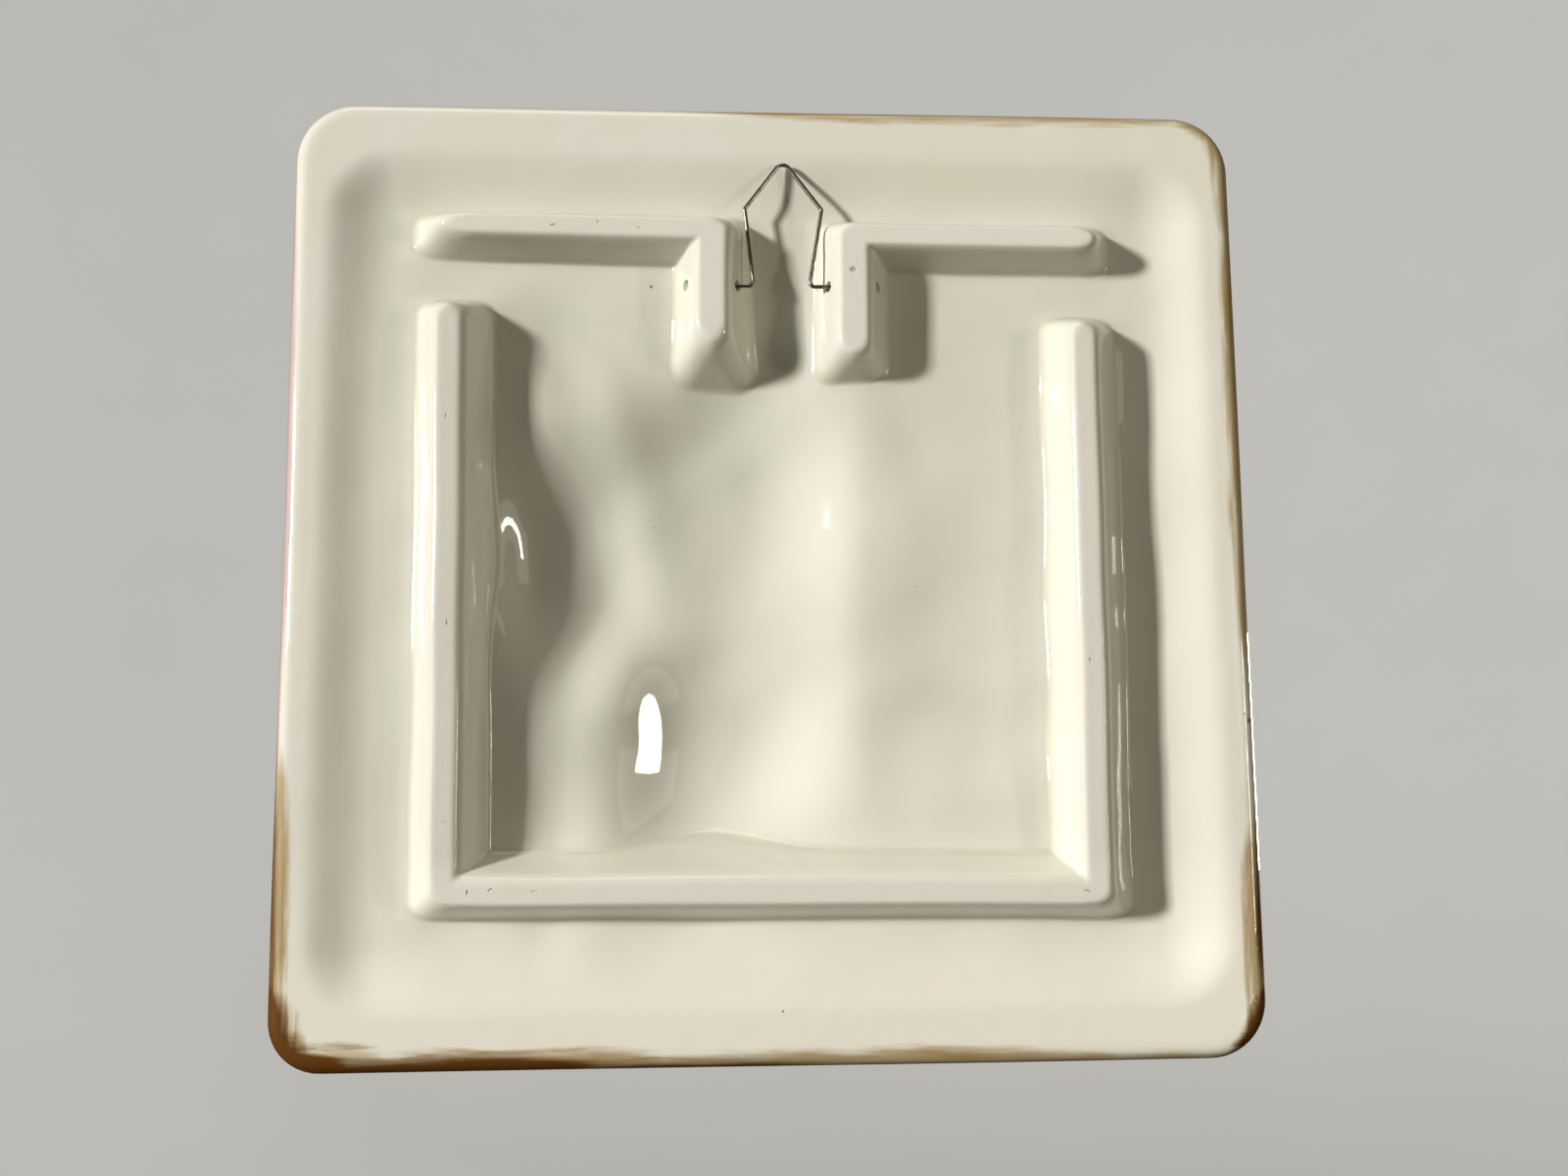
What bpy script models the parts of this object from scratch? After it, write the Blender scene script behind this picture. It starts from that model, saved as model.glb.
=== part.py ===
"""Square glazed wall trivet with a ribbed back and a bent wire hanger.

Metres, +Z up. The trivet hangs as on a wall: its plain front faces -Y and its ribbed back +Y.
The world origin is the underside of the wire's top bend, where the nail carries it.

Every piece is drawn in the back view: x to the right and y up as seen from behind, z out of the
back, with z = 0 on the flat band round the edge. One empty turns that drawing into the world.
"""

import math

import bmesh
import bpy
from mathutils import Matrix, Vector

# Plate
PLATE_SIDE = 0.2034
CORNER_RADIUS = 0.0120
WALL = 0.0058
EDGE_ROUND = 0.0024

# Flat band round the back, and the step from it down to the field
BAND_LEFT = 0.0098
BAND_RIGHT = 0.0112
BAND_TOP = 0.0132
BAND_BOTTOM = 0.0130
STEP_RUN = 0.0080
STEP_DEPTH = 0.0035
FIELD_CORNER_RADIUS = 0.0130

# Soft hollows in the field, behind the raised middle of the front. HOLLOW_DEPTH is the depth of a
# full one, and a higher HOLLOW_FLATNESS gives flatter floors and steeper sides. Each row is centre x
# and y, half length and half width as shares of half the plate, the turn of its long axis in
# degrees, and its depth as a share of a full one.
HOLLOW_DEPTH = 0.0087
HOLLOW_FLATNESS = 1.4
HOLLOWS = (
    (-0.08, 0.15, 0.26, 0.22, 97.0, 1.10),
    (-0.10, -0.36, 0.27, 0.20, 50.0, 1.00),
    (-0.37, 0.03, 0.30, 0.13, 90.0, 0.60),
    (-0.20, -0.14, 0.15, 0.11, -8.0, 0.30),
    (-0.39, 0.46, 0.15, 0.09, 145.0, 0.23),
    (0.39, -0.12, 0.21, 0.15, 67.0, 0.18),
    (0.38, -0.35, 0.19, 0.10, 0.0, 0.25),
)

# Ribs: flat tops, sides that spread on the way down to the field
RIB_WIDTH = 0.0055
LEG_WIDTH = 0.0062
RIB_HEIGHT = 0.0095
RIB_FOOT = 0.0056
RIB_EDGE_ROUND = 0.0009
UPRIGHT_SPREAD = 0.0052
BAR_SPREAD = 0.0027
BASE_INNER_SPREAD = 0.0046
LEG_SPREAD = 0.0047
U_END_SPREAD = 0.0026
BAR_END_SPREAD = 0.0045
LEG_END_SPREAD = 0.0038

# U-shaped rib, by the centre lines of its tops
U_CENTRE_X = -0.0009
U_MOUTH_WIDTH = 0.1342
U_BASE_WIDTH = 0.1322
U_BASE_Y = -0.0663
U_LEFT_END_Y = 0.0555
U_RIGHT_END_Y = 0.0529

# The two L-shaped ribs above it, whose legs carry the hanger. The bars and the U's base all slope
# down a little to the right.
BAR_LEFT_END_X = -0.0713
BAR_RIGHT_END_X = 0.0697
BAR_LEFT_Y = 0.0724
BAR_RIGHT_Y = 0.0711
BAR_SLOPE = -0.0100
LEG_CENTRE_X = 0.0022
LEG_GAP = 0.0234
LEG_LEFT_END_Y = 0.0463
LEG_RIGHT_END_Y = 0.0446

# Holes through the legs, and the wire that hangs in them
HOLE_DIAMETER = 0.0024
HOLE_RISE = 0.0053
HINGE_Y = 0.0606
WIRE_DIAMETER = 0.0009
HANGER_X = 0.0027
LOOP_LENGTH = 0.0276
SHOULDER_Y = 0.0174
SHOULDER_WIDTH = 0.0166
PIN_STANDOFF = 0.0037
PIN_DEPTH = 0.0040
APEX_BEND_RADIUS = 0.0016
SHOULDER_BEND_RADIUS = 0.0006
PIN_BEND_RADIUS = 0.0018
REST_GAP = 0.0003

# Fineness of the faceted surfaces
EDGE_GRID_STEP = 0.0030
FIELD_GRID_STEP = 0.0052
EDGE_SEGMENTS = 3
RIB_EDGE_SEGMENTS = 2
HOLE_SIDES = 20
BEND_STEPS = 5
CUTTER_EXTRA = 0.0020

# Colours from the finished piece, as linear red, green and blue
GLAZE_COLOUR = (0.66, 0.61, 0.49, 1.0)
GLAZE_ROUGHNESS = 0.12
STEEL_COLOUR = (0.22, 0.20, 0.17, 1.0)
STEEL_ROUGHNESS = 0.32

HALF_SIDE = PLATE_SIDE / 2
FIELD_Z = -STEP_DEPTH
RIB_TOP_Z = FIELD_Z + RIB_HEIGHT
HINGE_Z = FIELD_Z + HOLE_RISE
WIRE_RADIUS = WIRE_DIAMETER / 2


def clear_scene():
    for thing in list(bpy.data.objects):
        bpy.data.objects.remove(thing, do_unlink=True)


def new_collection(name, hidden=False):
    collection = bpy.data.collections.new(name)
    collection.hide_render = hidden
    bpy.context.scene.collection.children.link(collection)
    return collection


def new_material(name, colour, roughness, metallic):
    material = bpy.data.materials.new(name)
    material.use_nodes = True
    shader = material.node_tree.nodes["Principled BSDF"]
    shader.inputs["Base Color"].default_value = colour
    shader.inputs["Roughness"].default_value = roughness
    shader.inputs["Metallic"].default_value = metallic
    material.diffuse_color = colour
    return material


def object_from_bmesh(name, shape, collection, parent):
    mesh = bpy.data.meshes.new(name)
    shape.to_mesh(mesh)
    shape.free()
    thing = bpy.data.objects.new(name, mesh)
    collection.objects.link(thing)
    thing.parent = parent
    return thing


def make_cutter(thing):
    thing.hide_render = True
    thing.display_type = "WIRE"


def smooth(share):
    share = min(max(share, 0.0), 1.0)
    return share * share * (3.0 - 2.0 * share)


def field_share(x, y):
    """0 on the band round the edge, 1 on the field, and a soft step between them."""
    centre_x = (BAND_LEFT - BAND_RIGHT) / 2
    centre_y = (BAND_BOTTOM - BAND_TOP) / 2
    reach_x = HALF_SIDE - (BAND_LEFT + BAND_RIGHT) / 2 - FIELD_CORNER_RADIUS
    reach_y = HALF_SIDE - (BAND_BOTTOM + BAND_TOP) / 2 - FIELD_CORNER_RADIUS
    beyond_x = abs(x - centre_x) - reach_x
    beyond_y = abs(y - centre_y) - reach_y
    outside = math.hypot(max(beyond_x, 0.0), max(beyond_y, 0.0))
    inside = min(max(beyond_x, beyond_y), 0.0)
    depth = FIELD_CORNER_RADIUS - outside - inside
    return smooth(depth / STEP_RUN)


def hollow_depth(x, y):
    total = 0.0
    for centre_x, centre_y, half_length, half_width, turn, depth in HOLLOWS:
        angle = math.radians(turn)
        from_x = x / HALF_SIDE - centre_x
        from_y = y / HALF_SIDE - centre_y
        along = (from_x * math.cos(angle) + from_y * math.sin(angle)) / half_length
        across = (from_y * math.cos(angle) - from_x * math.sin(angle)) / half_width
        total += depth * math.exp(-(along * along + across * across) ** HOLLOW_FLATNESS)
    return total * HOLLOW_DEPTH


def back_height(x, y):
    return -field_share(x, y) * (STEP_DEPTH + hollow_depth(x, y))


def round_corner(x, y):
    """Bring the points of a square corner onto arcs about the corner's own centre."""
    inner = HALF_SIDE - CORNER_RADIUS
    over_x = max(abs(x) - inner, 0.0)
    over_y = max(abs(y) - inner, 0.0)
    if min(over_x, over_y) == 0.0:
        return x, y
    pull = max(over_x, over_y) / math.hypot(over_x, over_y)
    return math.copysign(inner + over_x * pull, x), math.copysign(inner + over_y * pull, y)


def grid_lines(low_zone, high_zone):
    """Lines across the plate, close together in the two edge zones and wider between them."""
    marks = (-HALF_SIDE, low_zone - HALF_SIDE, HALF_SIDE - high_zone, HALF_SIDE)
    steps = (EDGE_GRID_STEP, FIELD_GRID_STEP, EDGE_GRID_STEP)
    lines = [marks[0]]
    for start, end, step in zip(marks, marks[1:], steps):
        count = max(1, round((end - start) / step))
        lines += [start + (end - start) * index / count for index in range(1, count + 1)]
    return lines


def make_plate(collection, parent, material):
    """The cast wall: the back surface, given its thickness, with a rounded edge."""
    lines_x = grid_lines(BAND_LEFT + STEP_RUN, BAND_RIGHT + STEP_RUN)
    lines_y = grid_lines(BAND_BOTTOM + STEP_RUN, BAND_TOP + STEP_RUN)
    steps_x = len(lines_x) - 1
    steps_y = len(lines_y) - 1
    shape = bmesh.new()
    bmesh.ops.create_grid(shape, x_segments=steps_x, y_segments=steps_y, size=0.5)
    for vertex in shape.verts:
        line_x = lines_x[round((vertex.co.x + 0.5) * steps_x)]
        line_y = lines_y[round((vertex.co.y + 0.5) * steps_y)]
        x, y = round_corner(line_x, line_y)
        vertex.co = (x, y, back_height(x, y))
    plate = object_from_bmesh("glazed_plaque", shape, collection, parent)
    plate.data.materials.append(material)
    thickness = plate.modifiers.new("wall", "SOLIDIFY")
    thickness.thickness = WALL
    thickness.offset = -1.0
    thickness.use_even_offset = True
    rounding = plate.modifiers.new("edge", "BEVEL")
    rounding.width = EDGE_ROUND
    rounding.segments = EDGE_SEGMENTS
    rounding.limit_method = "ANGLE"
    rounding.angle_limit = math.radians(60)
    return plate


def bevel_edges(shape, edges):
    bmesh.ops.bevel(shape, geom=edges, offset=RIB_EDGE_ROUND, segments=RIB_EDGE_SEGMENTS,
                    profile=0.5, affect="EDGES", clamp_overlap=True)


def bend_offset(normal_in, normal_out, reach_in, reach_out):
    """Offset from a bend of the centre line that keeps each run's side at its own reach."""
    cross = normal_in.cross(normal_out)
    return Vector((reach_in * normal_out.y - reach_out * normal_in.y,
                   reach_out * normal_in.x - reach_in * normal_out.x)) / cross


def rib_side(path, reaches, end_reaches):
    """One side of a rib, along its left, at a reach from the centre line for each run."""
    runs = [(after - before).normalized() for before, after in zip(path, path[1:])]
    normals = [Vector((-run.y, run.x)) for run in runs]
    side = [path[0] - runs[0] * end_reaches[0] + normals[0] * reaches[0]]
    for index in range(1, len(runs)):
        side.append(path[index] + bend_offset(normals[index - 1], normals[index],
                                              reaches[index - 1], reaches[index]))
    side.append(path[-1] + runs[-1] * end_reaches[1] + normals[-1] * reaches[-1])
    return side


def rib_outline(rib, share_down):
    """Closed outline of a rib at a share of its height below its top."""
    path = [Vector(point) for point in rib["path"]]
    half_widths = [width / 2 for width in rib["widths"]]
    ends = [spread * share_down for spread in rib["end_spreads"]]
    left = [half + spread * share_down for half, spread in zip(half_widths, rib["left_spreads"])]
    right = [half + spread * share_down for half, spread in zip(half_widths, rib["right_spreads"])]
    return rib_side(path, left, ends) + rib_side(path[::-1], right[::-1], ends[::-1])


def make_rib(name, rib, cutters, parent):
    """A rib as a loft from its wide foot, sunk in the wall, to its flat top."""
    foot_share = (RIB_HEIGHT + RIB_FOOT) / RIB_HEIGHT
    shape = bmesh.new()
    foot = [shape.verts.new((*point, FIELD_Z - RIB_FOOT)) for point in rib_outline(rib, foot_share)]
    top = [shape.verts.new((*point, RIB_TOP_Z)) for point in rib_outline(rib, 0.0)]
    shape.faces.new(foot)
    shape.faces.new(top)
    upright_edges = []
    for index, vertex in enumerate(foot):
        following = (index + 1) % len(foot)
        shape.faces.new((vertex, foot[following], top[following], top[index]))
        upright_edges.append(shape.edges.get((vertex, top[index])))
    bmesh.ops.recalc_face_normals(shape, faces=shape.faces)
    bevel_edges(shape, upright_edges)
    top_edges = [edge for edge in shape.edges
                 if min(vertex.co.z for vertex in edge.verts) > RIB_TOP_Z - RIB_FOOT]
    bevel_edges(shape, top_edges)
    tool = object_from_bmesh(name, shape, cutters, parent)
    make_cutter(tool)
    return tool


def u_rib():
    """The U, from its left end down, along the base and up to its right end."""
    left = U_CENTRE_X - U_BASE_WIDTH / 2
    right = U_CENTRE_X + U_BASE_WIDTH / 2
    return {
        "path": ((U_CENTRE_X - U_MOUTH_WIDTH / 2, U_LEFT_END_Y),
                 (left, U_BASE_Y + BAR_SLOPE * left),
                 (right, U_BASE_Y + BAR_SLOPE * right),
                 (U_CENTRE_X + U_MOUTH_WIDTH / 2, U_RIGHT_END_Y)),
        "widths": (RIB_WIDTH, RIB_WIDTH, RIB_WIDTH),
        "left_spreads": (UPRIGHT_SPREAD, BASE_INNER_SPREAD, UPRIGHT_SPREAD),
        "right_spreads": (UPRIGHT_SPREAD, BAR_SPREAD, UPRIGHT_SPREAD),
        "end_spreads": (U_END_SPREAD, U_END_SPREAD),
    }


def hook_rib(leg_x, leg_end_y, bar_end_x, bar_y_at_leg):
    """An L, from the free end of its leg up and out along its bar."""
    bar_end_y = bar_y_at_leg + BAR_SLOPE * (bar_end_x - leg_x)
    return {
        "path": ((leg_x, leg_end_y), (leg_x, bar_y_at_leg), (bar_end_x, bar_end_y)),
        "widths": (LEG_WIDTH, RIB_WIDTH),
        "left_spreads": (LEG_SPREAD, BAR_SPREAD),
        "right_spreads": (LEG_SPREAD, BAR_SPREAD),
        "end_spreads": (LEG_END_SPREAD, BAR_END_SPREAD),
    }


def ribs():
    leg_left = LEG_CENTRE_X - (LEG_GAP + LEG_WIDTH) / 2
    leg_right = LEG_CENTRE_X + (LEG_GAP + LEG_WIDTH) / 2
    left_y = BAR_LEFT_Y + BAR_SLOPE * (leg_left - BAR_LEFT_END_X)
    return {
        "u_rib": u_rib(),
        "left_hook": hook_rib(leg_left, LEG_LEFT_END_Y, BAR_LEFT_END_X, left_y),
        "right_hook": hook_rib(leg_right, LEG_RIGHT_END_Y, BAR_RIGHT_END_X, BAR_RIGHT_Y),
    }


def combine(target, tool, operation):
    modifier = target.modifiers.new(tool.name, "BOOLEAN")
    modifier.operation = operation
    modifier.solver = "EXACT"
    modifier.object = tool


def leg_lean_at_hole():
    """How far a leg's side has spread out at the height of its hole."""
    return LEG_SPREAD * (RIB_HEIGHT - HOLE_RISE) / RIB_HEIGHT


def make_drill(cutters, parent):
    """One drill along the hinge axis, through both legs."""
    outer_side = LEG_GAP / 2 + LEG_WIDTH + leg_lean_at_hole()
    length = 2 * (outer_side + HOLE_DIAMETER + CUTTER_EXTRA)
    shape = bmesh.new()
    bmesh.ops.create_cone(shape, cap_ends=True, segments=HOLE_SIDES, radius1=HOLE_DIAMETER / 2,
                          radius2=HOLE_DIAMETER / 2, depth=length,
                          matrix=Matrix.Rotation(math.radians(90), 4, "Y"))
    drill = object_from_bmesh("hinge_drill", shape, cutters, parent)
    drill.location = (LEG_CENTRE_X, HINGE_Y, HINGE_Z)
    make_cutter(drill)
    return drill


def rounded_path(corners, radii):
    """Points along straight runs whose inner corners are arcs of the given radii."""
    points = [corners[0]]
    for before, corner, after, radius in zip(corners, corners[1:], corners[2:], radii):
        back = (before - corner).normalized()
        ahead = (after - corner).normalized()
        half_angle = back.angle(ahead) / 2
        centre = corner + (back + ahead).normalized() * radius / math.sin(half_angle)
        run = radius / math.tan(half_angle)
        first = corner + back * run - centre
        last = corner + ahead * run - centre
        for step in range(BEND_STEPS + 1):
            points.append(centre + first.slerp(last, step / BEND_STEPS).normalized() * radius)
    points.append(corners[-1])
    return points


def apex_corner_y():
    """Where the loop's two upper runs would meet, above the rounded top that they touch."""
    bend_centre_y = LOOP_LENGTH - APEX_BEND_RADIUS
    reach = Vector((SHOULDER_WIDTH / 2, bend_centre_y - SHOULDER_Y))
    half_angle = math.atan2(reach.x, reach.y) - math.asin(APEX_BEND_RADIUS / reach.length)
    return SHOULDER_Y + reach.x / math.tan(half_angle)


def hanger_corners():
    """The wire's corners in its own plane, from one pin over the top bend to the other."""
    left_mouth = HANGER_X - (LEG_CENTRE_X - LEG_GAP / 2 + leg_lean_at_hole())
    right_mouth = LEG_CENTRE_X + LEG_GAP / 2 - leg_lean_at_hole() - HANGER_X
    shoulder = SHOULDER_WIDTH / 2
    return [
        Vector((-left_mouth - PIN_DEPTH, 0.0, 0.0)),
        Vector((-left_mouth + PIN_STANDOFF, 0.0, 0.0)),
        Vector((-shoulder, SHOULDER_Y, 0.0)),
        Vector((0.0, apex_corner_y(), 0.0)),
        Vector((shoulder, SHOULDER_Y, 0.0)),
        Vector((right_mouth - PIN_STANDOFF, 0.0, 0.0)),
        Vector((right_mouth + PIN_DEPTH, 0.0, 0.0)),
    ]


def hanger_lean():
    """The angle by which the loop leans in until its top rests on the band, less a small gap."""
    apex_z = WIRE_RADIUS + REST_GAP
    return math.asin((HINGE_Z - apex_z) / LOOP_LENGTH)


def make_hanger(collection, hinge, material):
    """The bent wire, as a swept curve and then a mesh."""
    radii = (PIN_BEND_RADIUS, SHOULDER_BEND_RADIUS, APEX_BEND_RADIUS, SHOULDER_BEND_RADIUS,
             PIN_BEND_RADIUS)
    points = rounded_path(hanger_corners(), radii)
    curve = bpy.data.curves.new("hanger_path", "CURVE")
    curve.dimensions = "3D"
    curve.bevel_depth = WIRE_RADIUS
    curve.bevel_resolution = 2
    curve.use_fill_caps = True
    spline = curve.splines.new("POLY")
    spline.points.add(len(points) - 1)
    for slot, point in zip(spline.points, points):
        slot.co = (*point, 1.0)
    sweep = bpy.data.objects.new("hanger_sweep", curve)
    collection.objects.link(sweep)
    sweep.parent = hinge
    bpy.context.view_layer.update()
    mesh = bpy.data.meshes.new_from_object(sweep.evaluated_get(bpy.context.evaluated_depsgraph_get()))
    placed = sweep.matrix_world.copy()
    bpy.data.objects.remove(sweep, do_unlink=True)
    shape = bmesh.new()
    shape.from_mesh(mesh)
    bmesh.ops.remove_doubles(shape, verts=shape.verts, dist=0.00001)
    bmesh.ops.recalc_face_normals(shape, faces=shape.faces)
    shape.to_mesh(mesh)
    shape.free()
    mesh.name = "wire_hanger"
    mesh.materials.clear()
    mesh.materials.append(material)
    mesh.shade_smooth()
    hanger = bpy.data.objects.new("wire_hanger", mesh)
    collection.objects.link(hanger)
    hanger.parent = hinge
    hanger.matrix_world = placed
    return hanger


def hang_point():
    """Underside of the wire's top bend, in the drawing."""
    reach = LOOP_LENGTH - WIRE_RADIUS
    lean = hanger_lean()
    return Vector((HANGER_X, HINGE_Y + reach * math.cos(lean), HINGE_Z - reach * math.sin(lean)))


def make_frames(collection):
    """The empty that turns the drawing into the hung trivet, and the hinge inside it."""
    turn = Matrix.Rotation(math.pi, 4, "Z") @ Matrix.Rotation(math.pi / 2, 4, "X")
    drawing = bpy.data.objects.new("back_view", None)
    collection.objects.link(drawing)
    drawing.matrix_world = Matrix.Translation(-(turn @ hang_point())) @ turn
    hinge = bpy.data.objects.new("hanger_hinge", None)
    collection.objects.link(hinge)
    hinge.parent = drawing
    hinge.location = (HANGER_X, HINGE_Y, HINGE_Z)
    hinge.rotation_euler = (-hanger_lean(), 0.0, 0.0)
    bpy.context.view_layer.update()
    return drawing, hinge


def main():
    clear_scene()
    collection = new_collection("wall_trivet")
    cutters = new_collection("cutters", hidden=True)
    glaze = new_material("cream_glaze", GLAZE_COLOUR, GLAZE_ROUGHNESS, 0.0)
    steel = new_material("wire_steel", STEEL_COLOUR, STEEL_ROUGHNESS, 1.0)
    drawing, hinge = make_frames(collection)
    plaque = make_plate(collection, drawing, glaze)
    for name, rib in ribs().items():
        combine(plaque, make_rib(name, rib, cutters, drawing), "UNION")
    combine(plaque, make_drill(cutters, drawing), "DIFFERENCE")
    make_hanger(collection, hinge, steel)


main()
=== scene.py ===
# %% [markdown]
# # A glazed wall trivet, seen from behind
#
# The real piece is a square of cast clay with a smooth cream glaze. Its plain face is turned away
# from us. The back has a flat band round the edge, a sunk field that dips in soft hollows behind
# the raised face, three ribs with flat tops, and a bent wire in two drilled legs to hang it by.
#
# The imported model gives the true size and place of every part. Here each part is made again with
# the fine shape and the finish that the solids leave out, and rides on the same bodies.

import math

import bmesh
import bpy
import numpy as np
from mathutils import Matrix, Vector


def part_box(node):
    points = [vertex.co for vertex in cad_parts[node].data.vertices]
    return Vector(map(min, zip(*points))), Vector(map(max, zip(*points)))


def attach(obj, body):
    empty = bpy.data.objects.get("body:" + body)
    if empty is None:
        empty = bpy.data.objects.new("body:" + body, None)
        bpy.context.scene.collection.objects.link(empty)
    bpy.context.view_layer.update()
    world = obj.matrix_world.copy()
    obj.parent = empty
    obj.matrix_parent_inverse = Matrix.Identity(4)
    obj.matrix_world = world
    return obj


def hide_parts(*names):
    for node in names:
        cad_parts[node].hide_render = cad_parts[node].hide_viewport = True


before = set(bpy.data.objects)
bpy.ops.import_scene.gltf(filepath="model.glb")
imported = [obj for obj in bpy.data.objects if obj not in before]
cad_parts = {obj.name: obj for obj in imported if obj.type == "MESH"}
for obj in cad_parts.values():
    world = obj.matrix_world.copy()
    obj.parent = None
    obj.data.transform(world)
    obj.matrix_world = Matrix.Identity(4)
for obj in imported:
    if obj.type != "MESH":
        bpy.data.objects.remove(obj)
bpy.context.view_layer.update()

# %% [markdown]
# ## One drawing for everything
#
# A maker would draw the back flat on a board: `u` to the right, `v` up and `w` out towards the eye,
# in millimetres, with `w = 0` on the flat band. The sums below stay in that drawing, and one
# function turns it into the hung trivet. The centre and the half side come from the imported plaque.

# %% Measure the plaque and set up the drawing
MM = 0.001
plaque_low, plaque_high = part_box("glazed_plaque")
RIB_TOP = 6.0
WALL = 5.8
HALF = (plaque_high.x - plaque_low.x) / 2 / MM
CENTRE_X = (plaque_low.x + plaque_high.x) / 2
CENTRE_Z = (plaque_low.z + plaque_high.z) / 2
BAND_Y = plaque_high.y - RIB_TOP * MM
FRONT = (plaque_low.y - BAND_Y) / MM


def to_world(u, v, w):
    return np.stack([CENTRE_X - u * MM, BAND_Y + w * MM, CENTRE_Z + v * MM], axis=-1)


print(f"half side {HALF:.2f} mm, the face reaches {FRONT:.2f} mm behind the band")

# %% [markdown]
# ## Small helpers for soft shapes
#
# Cast clay under glaze has no sharp corners. `ease` fades from 0 to 1 with flat ends. `soft_max`
# takes the higher of two heights but rounds the valley where they cross, as glaze fills a corner,
# and `soft_min` rounds an edge in the same way. `swell` is the slow unevenness of handwork: a few
# long waves in fixed directions, from a numbered dice so that every run gives the same piece.

# %% Soft shapes


def ease(share):
    share = np.clip(share, 0.0, 1.0)
    return share * share * (3.0 - 2.0 * share)


def soft_max(first, second, reach):
    near = np.clip(1.0 - np.abs(first - second) / reach, 0.0, 1.0)
    return np.maximum(first, second) + near * near * reach / 4.0


def soft_min(first, second, reach):
    return -soft_max(-first, -second, reach)


def swell(u, v, size, seed):
    dice = np.random.default_rng(seed)
    total = np.zeros_like(u)
    for _ in range(7):
        turn = dice.uniform(0.0, math.pi)
        length = size * dice.uniform(0.7, 1.6)
        start = dice.uniform(0.0, 2.0 * math.pi)
        across = u * math.cos(turn) + v * math.sin(turn)
        total = total + np.sin(across * 2.0 * math.pi / length + start)
    return total / 3.0


# %% [markdown]
# ## The sunk field
#
# Inside the band the back steps down softly to a field. The field isn't flat: where the face of
# the trivet is raised, the wall follows it, so the back has hollows there. Each hollow is a
# flattened bell shape, given by its centre, half length, half width, turn and share of full depth,
# close to the solids. Slow swells and low bells on top are the unevenness that the solids leave
# out: they are what the raking light shows in the photograph.

# %% The field's heights
BAND_SIDES, BAND_ENDS = 6.3, 10.3
STEP_RUN, STEP_DEPTH, FIELD_CORNER = 16.5, 3.5, 15.0
HOLLOW_DEPTH, HOLLOW_FLATNESS = 8.7, 1.4
HOLLOWS = (
    (-0.08, 0.15, 0.26, 0.22, 97.0, 1.10),
    (-0.10, -0.36, 0.27, 0.20, 50.0, 1.00),
    (-0.38, 0.02, 0.30, 0.13, 90.0, 0.66),
    (-0.20, -0.14, 0.15, 0.11, -8.0, 0.30),
    (-0.39, 0.46, 0.15, 0.09, 145.0, 0.23),
    (0.39, -0.12, 0.21, 0.15, 67.0, 0.18),
    (0.38, -0.35, 0.19, 0.10, 0.0, 0.25),
)


def field_share(u, v):
    """0 on the band, 1 on the field. The step between is steeper at its outer side."""
    beyond_u = np.abs(u) - (HALF - BAND_SIDES - FIELD_CORNER)
    beyond_v = np.abs(v) - (HALF - BAND_ENDS - FIELD_CORNER)
    outside = np.hypot(np.maximum(beyond_u, 0.0), np.maximum(beyond_v, 0.0))
    inside = np.minimum(np.maximum(beyond_u, beyond_v), 0.0)
    way = np.clip((FIELD_CORNER - outside - inside) / STEP_RUN, 0.0, 1.0)
    return way ** 2 * (6.0 - 8.0 * way + 3.0 * way ** 2)


def hollow_depth(u, v):
    total = np.zeros_like(u)
    for centre_u, centre_v, half_length, half_width, turn, depth in HOLLOWS:
        angle = math.radians(turn)
        from_u = u / HALF - centre_u
        from_v = v / HALF - centre_v
        along = (from_u * math.cos(angle) + from_v * math.sin(angle)) / half_length
        across = (from_v * math.cos(angle) - from_u * math.sin(angle)) / half_width
        total = total + depth * np.exp(-(along ** 2 + across ** 2) ** HOLLOW_FLATNESS)
    return total * HOLLOW_DEPTH


def wall_height(u, v):
    """The cast wall alone, close to the solids."""
    return -field_share(u, v) * (STEP_DEPTH + hollow_depth(u, v))


RELIEF = (  # low bells on the wall: centre u, v, half sizes, turn in degrees, height
    (-52.0, 0.1, 5.5, 17.4, 4, -2.60), (-44.9, -49.0, 5.4, 26.0, -3, -1.05),
    (-36.9, -10.4, 7.7, 14.5, -22, -1.39), (-28.0, 7.6, 7.6, 14.2, 2, 5.24),
    (-30.2, -28.2, 8.8, 26.0, -12, 3.35), (-9.3, 24.8, 9.5, 5.7, 30, 0.53),
    (-6.5, -37.0, 22.0, 26.2, -18, -2.25), (16.7, 5.6, 5.5, 26.0, -2, 0.61),
    (24.7, -38.1, 6.9, 14.1, 5, -0.66), (30.1, 28.7, 6.0, 8.5, 27, -0.56),
    (-27.3, 4.4, 8.7, 26.2, 3, -5.46), (-32.2, 32.3, 7.6, 15.6, 17, 2.14),
    (37.8, -37.6, 5.5, 16.6, -15, 0.26), (-31.3, -32.8, 7.5, 22.9, -25, -1.89),
    (74.0, -12.0, 7.0, 60.0, 0, -0.85),
)


def relief(u, v):
    total = np.zeros_like(u)
    for centre_u, centre_v, half_u, half_v, turn, height in RELIEF:
        angle = math.radians(turn)
        along = (u - centre_u) * math.cos(angle) + (v - centre_v) * math.sin(angle)
        across = (v - centre_v) * math.cos(angle) - (u - centre_u) * math.sin(angle)
        total = total + height * np.exp(-(along / half_u) ** 2 - (across / half_v) ** 2)
    return total


SLOW_SWELL, SHORT_SWELL, DIP_DEPTH = 0.24, 0.07, 0.9


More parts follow.
